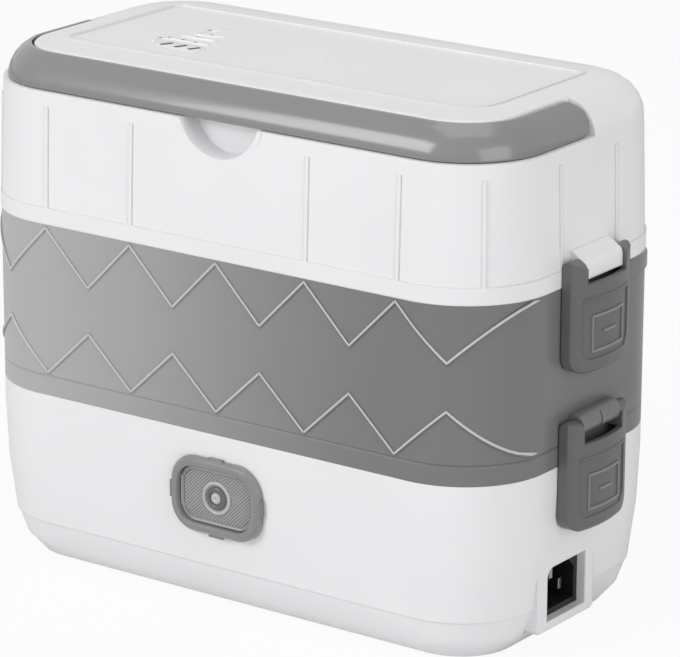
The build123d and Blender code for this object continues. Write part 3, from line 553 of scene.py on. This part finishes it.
class LUNCHBOX_OT_inlet(bpy.types.Operator):
    """Finishes the mains inlet and its pins"""

    bl_idname = "lunchbox.inlet"
    bl_label = "Mains inlet"

    def execute(self, context):
        # moulded PBT: deep matt black, so that the recess reads as a hole
        black = moulded("Moulded_PBT_black", "#1a1a1c", 0.45, 0.5, 0.01)
        dress(["inlet_socket"], black)
        # nickel plate on brass: bright, slightly warm blades that stand out of the black
        dress(["inlet_pins"], metal("Nickel_plated_brass", "#c8c4bc", 0.25, 0.4, 0.005))
        return {"FINISHED"}


class LUNCHBOX_OT_metal_and_rubber(bpy.types.Operator):
    """Finishes the bowls, tank, heater, pins, screws, seals and feet"""

    bl_idname = "lunchbox.metal_and_rubber"
    bl_label = "Metal and rubber pieces"

    def execute(self, context):
        # brushed stainless steel: a soft grey sheen, with the room mirrored faintly in it
        steel = metal("Brushed_stainless_steel", "#c4c4c6", 0.3, 0.3, 0.01)
        dress(["lower_bowl_left", "lower_bowl_right", "upper_bowl_left", "upper_bowl_right",
               "heating_tank", "pan_screws", "upper_latch_pins", "lower_latch_pins", "handle_pins"], steel)
        # cast aluminium: dull pale grey with a rough, broken sheen
        dress(["heater_plate", "thermostat"], metal("Cast_aluminium", "#b4b4b6", 0.5, 0.8, 0.05))
        # moulded silicone: matt grey rubber with hardly a highlight
        rubber = moulded("Moulded_silicone_grey", "#aaaaac", 0.6, 0.6, 0.02)
        dress(["foot_pads", "tier_seal", "lid_seal", "vent_valve"], rubber)
        # glazed ceramic: warm off-white with a wet glint
        dress(["thermal_fuse"], moulded("Glazed_ceramic_white", "#e1ded6", 0.3, 0.8, 0.01))
        return {"FINISHED"}


def paper_floor(scene):
    """Wide pale floor under the object."""
    shape = bmesh.new()
    bmesh.ops.create_grid(shape, x_segments=1, y_segments=1, size=6.0)
    mesh = bpy.data.meshes.new("studio_floor")
    shape.to_mesh(mesh)
    shape.free()
    floor = bpy.data.objects.new("studio_floor", mesh)
    scene.collection.objects.link(floor)
    # matt white paper: it takes the object's soft shadow and melts into the white room
    paper, tree = new_material("Matt_white_paper")
    path = node(tree, "ShaderNodeLightPath")
    seen = node(tree, "ShaderNodeMath", {0: path.outputs["Is Camera Ray"]}, operation="MULTIPLY")
    seen.inputs[1].default_value = FLOOR_GLOW
    matt = node(tree, "ShaderNodeBsdfDiffuse")
    matt.inputs["Color"].default_value = linear("#ececec")
    glow = node(tree, "ShaderNodeEmission", Strength=1.0)
    mixed = node(tree, "ShaderNodeMixShader", {
        0: seen.outputs[0], 1: matt.outputs["BSDF"], 2: glow.outputs["Emission"]})
    node(tree, "ShaderNodeOutputMaterial", {"Surface": mixed.outputs["Shader"]})
    mesh.materials.append(paper)


def white_room(scene):
    """Even white world: full white where it is seen or mirrored, and dimmer as light on the object."""
    world = bpy.data.worlds.new("Studio_white")
    world.use_nodes = True
    tree = world.node_tree
    tree.nodes.clear()
    path = node(tree, "ShaderNodeLightPath")
    direct = node(tree, "ShaderNodeMath", {0: path.outputs["Is Camera Ray"], 1: path.outputs["Is Glossy Ray"]},
                  operation="MAXIMUM")
    direct = node(tree, "ShaderNodeMath", {0: direct.outputs[0], 1: path.outputs["Is Transmission Ray"]},
                  operation="MAXIMUM")
    soft = node(tree, "ShaderNodeBackground", Strength=ROOM_LIGHT)
    white = node(tree, "ShaderNodeBackground", Strength=1.0)
    mixed = node(tree, "ShaderNodeMixShader", {
        0: direct.outputs[0], 1: soft.outputs["Background"], 2: white.outputs["Background"]})
    node(tree, "ShaderNodeOutputWorld", {"Surface": mixed.outputs["Shader"]})
    scene.world = world


def softbox(scene, name, spot, side, power):
    """Square area lamp that looks at the object."""
    light = bpy.data.lights.new(name, "AREA")
    light.shape = "RECTANGLE"
    light.size = light.size_y = side
    light.energy = power
    holder = bpy.data.objects.new(name, light)
    holder.location = spot
    holder.rotation_mode = "QUATERNION"
    holder.rotation_quaternion = (Vector(SOFTBOX_AIM) - Vector(spot)).to_track_quat("-Z", "Y")
    scene.collection.objects.link(holder)


def photo_camera(scene, setup):
    """Camera at the photograph's viewing angle."""
    az, el, roll = setup.azimuth, setup.elevation, setup.roll
    back = Vector((math.sin(az) * math.cos(el), -math.cos(az) * math.cos(el), math.sin(el)))
    right = Vector((math.cos(az), math.sin(az), 0))
    up = back.cross(right)
    rolled_right = right * math.cos(roll) + up * math.sin(roll)
    rolled_up = up * math.cos(roll) - right * math.sin(roll)
    aim_right, aim_up, aim_height = CAMERA_AIM
    target = right * (aim_right * MM) + up * (aim_up * MM) + Vector((0, 0, aim_height * MM))
    data = bpy.data.cameras.new("photo_camera")
    data.sensor_width = CAMERA_SENSOR
    data.lens = setup.focal
    data.clip_start, data.clip_end = 0.05, 50
    camera = bpy.data.objects.new("photo_camera", data)
    camera.matrix_world = Matrix.Translation(target + back * setup.distance) @ Matrix(
        (rolled_right, rolled_up, back)).transposed().to_4x4()
    scene.collection.objects.link(camera)
    scene.camera = camera


class LUNCHBOX_OT_stage(bpy.types.Operator):
    """Builds the floor, the world, the lamps and the camera"""

    bl_idname = "lunchbox.stage"
    bl_label = "Stage"

    def execute(self, context):
        scene = context.scene
        scene.view_settings.view_transform = "Standard"
        paper_floor(scene)
        white_room(scene)
        for box in SOFTBOXES:
            softbox(scene, *box)
        photo_camera(scene, scene.lunch_box_stage)
        return {"FINISHED"}


class LUNCHBOX_PT_panel(bpy.types.Panel):
    """Lists the finishes of the lunch box"""

    bl_idname = "LUNCHBOX_PT_panel"
    bl_label = "Lunch Box"
    bl_space_type = "VIEW_3D"
    bl_region_type = "UI"
    bl_category = "Lunch Box"

    def draw(self, context):
        layout = self.layout
        for group in (context.scene.lunch_box_finish, context.scene.lunch_box_stage):
            for key in group.__annotations__:
                layout.prop(group, key)
        for operator in OPERATORS:
            layout.operator(operator.bl_idname)


OPERATORS = (
    LUNCHBOX_OT_white_mouldings,
    LUNCHBOX_OT_tier,
    LUNCHBOX_OT_latches,
    LUNCHBOX_OT_handle,
    LUNCHBOX_OT_switch,
    LUNCHBOX_OT_inlet,
    LUNCHBOX_OT_metal_and_rubber,
    LUNCHBOX_OT_stage,
)
CLASSES = (LunchBoxFinish, LunchBoxStage, *OPERATORS, LUNCHBOX_PT_panel)


def register():
    for cls in CLASSES:
        bpy.utils.register_class(cls)
    bpy.types.Scene.lunch_box_finish = bpy.props.PointerProperty(type=LunchBoxFinish)
    bpy.types.Scene.lunch_box_stage = bpy.props.PointerProperty(type=LunchBoxStage)


def unregister():
    del bpy.types.Scene.lunch_box_stage
    del bpy.types.Scene.lunch_box_finish
    for cls in reversed(CLASSES):
        bpy.utils.unregister_class(cls)


def main():
    register()
    bpy.ops.lunchbox.white_mouldings()
    bpy.ops.lunchbox.tier()
    bpy.ops.lunchbox.latches()
    bpy.ops.lunchbox.handle()
    bpy.ops.lunchbox.switch()
    bpy.ops.lunchbox.inlet()
    bpy.ops.lunchbox.metal_and_rubber()
    bpy.ops.lunchbox.stage()


if __name__ == "__main__":
    main()
